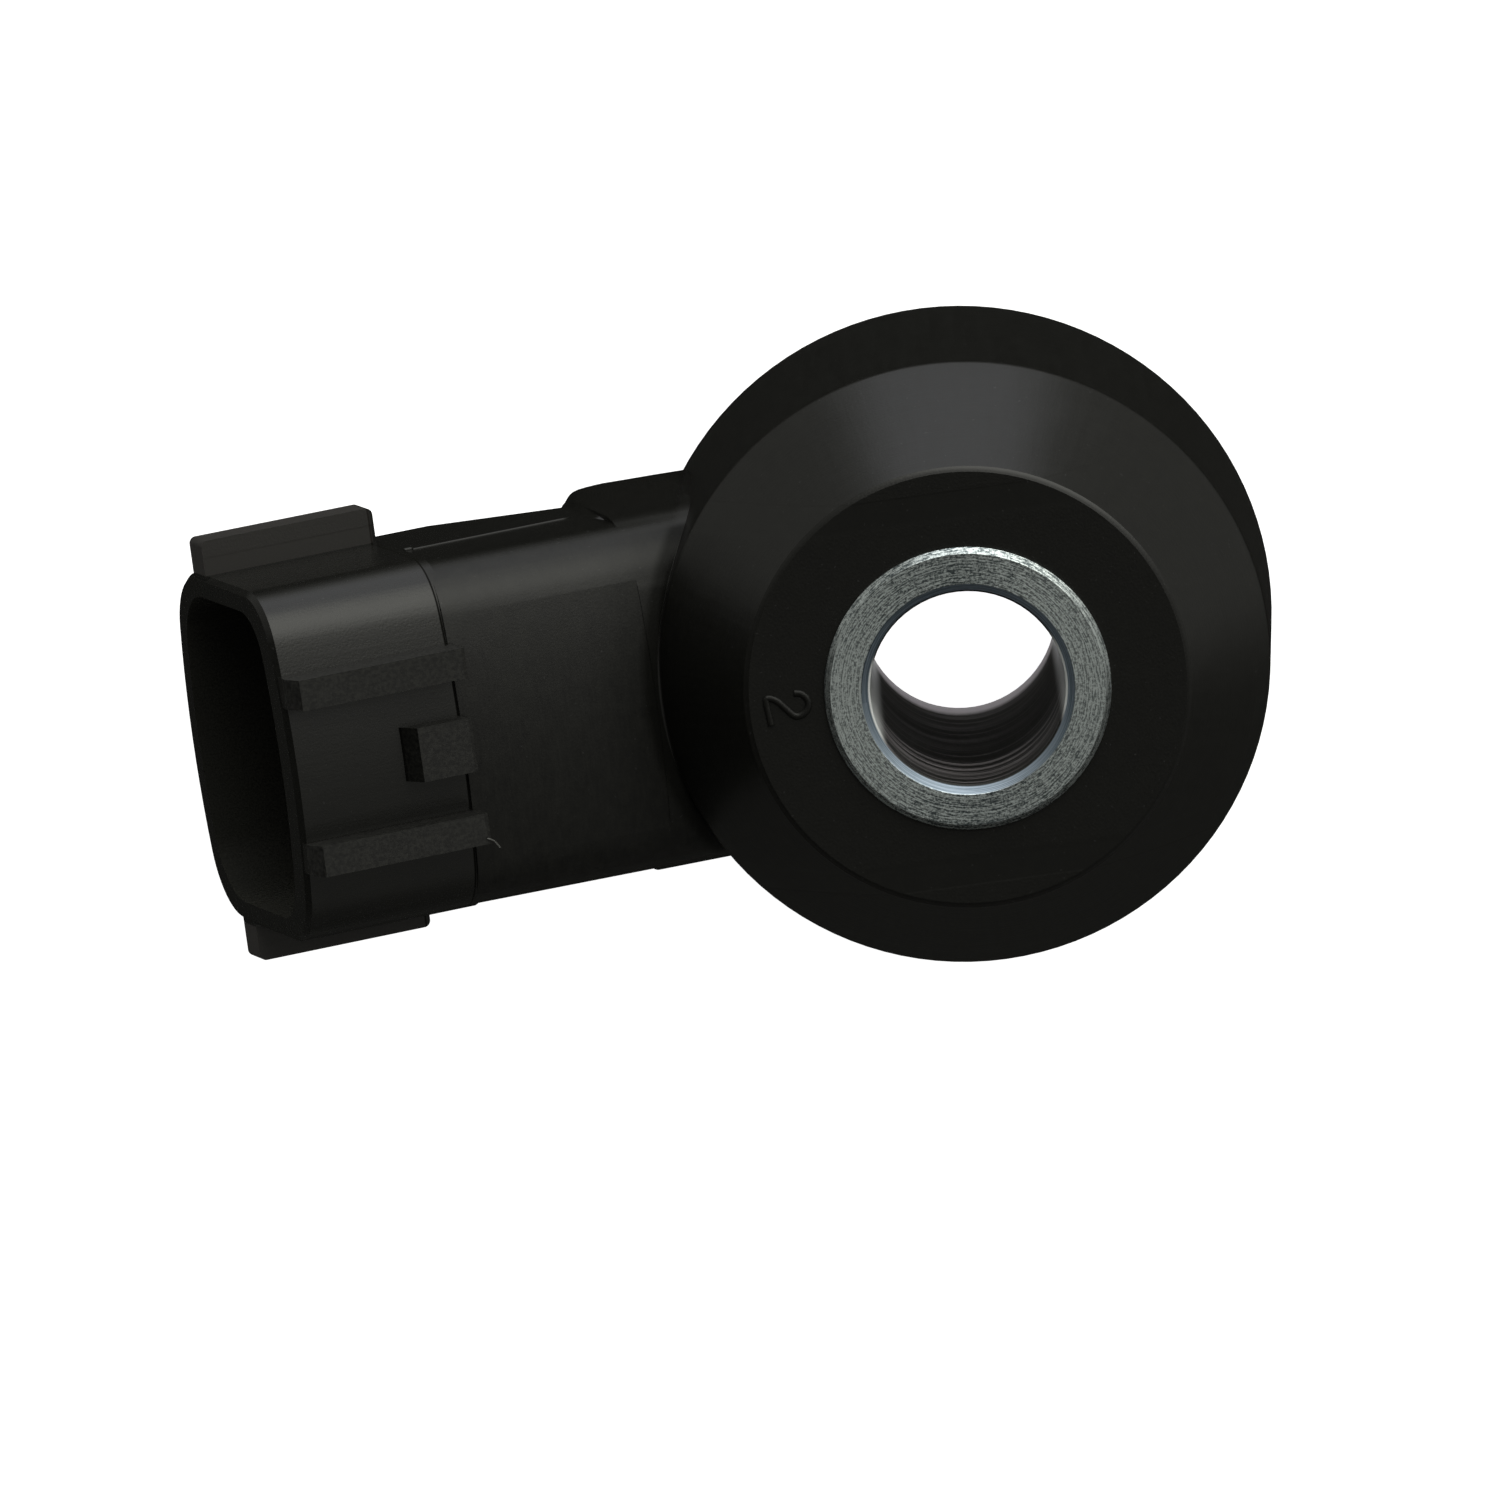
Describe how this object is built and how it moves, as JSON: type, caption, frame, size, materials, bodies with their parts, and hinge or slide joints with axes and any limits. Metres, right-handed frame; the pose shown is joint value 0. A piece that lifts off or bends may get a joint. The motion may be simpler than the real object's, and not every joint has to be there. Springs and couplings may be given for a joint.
{
  "type": "engine knock sensor",
  "caption": "Ring-type piezo knock sensor: a steel sleeve for one bolt in a black moulded plastic housing with an angled connector socket and blade terminals.",
  "frame": {"origin": "centre of the bolt bore in the plane of the steel mounting face", "axes": "+Z along the bolt bore, from the engine block towards the bolt head; the connector's mouth points to -X and rises 20 degrees"},
  "size_m": [0.0479, 0.0276, 0.019],
  "materials": {
    "moulded_plastic": "satin black glass-filled moulding",
    "plated_steel": "turned and bright zinc plated",
    "insulator": "insulating film",
    "brass_sheet": "stamped sheet",
    "piezo_ceramic": "silvered faces on ceramic",
    "turned_steel": "turned, lightly oiled",
    "tinned_terminal": "tin plated",
    "carrier_plastic": "satin",
    "chip": "glazed chip",
    "solder": "bright solder"
  },
  "bodies": {
    "root": {"housing": "moulded_plastic", "pressure_sleeve": "plated_steel", "insulating_tube": "insulator", "lower_insulating_washer": "insulator", "lower_contact_plate": "brass_sheet", "piezo_ring": "piezo_ceramic", "upper_contact_plate": "brass_sheet", "upper_insulating_washer": "insulator", "seismic_mass": "turned_steel", "disc_spring": "turned_steel", "lock_nut": "turned_steel", "signal_terminal": "tinned_terminal", "ground_terminal": "tinned_terminal", "terminal_carrier": "carrier_plastic", "shunt_resistor": "chip", "signal_solder": "solder", "ground_solder": "solder"}
  },
  "joints": []
}
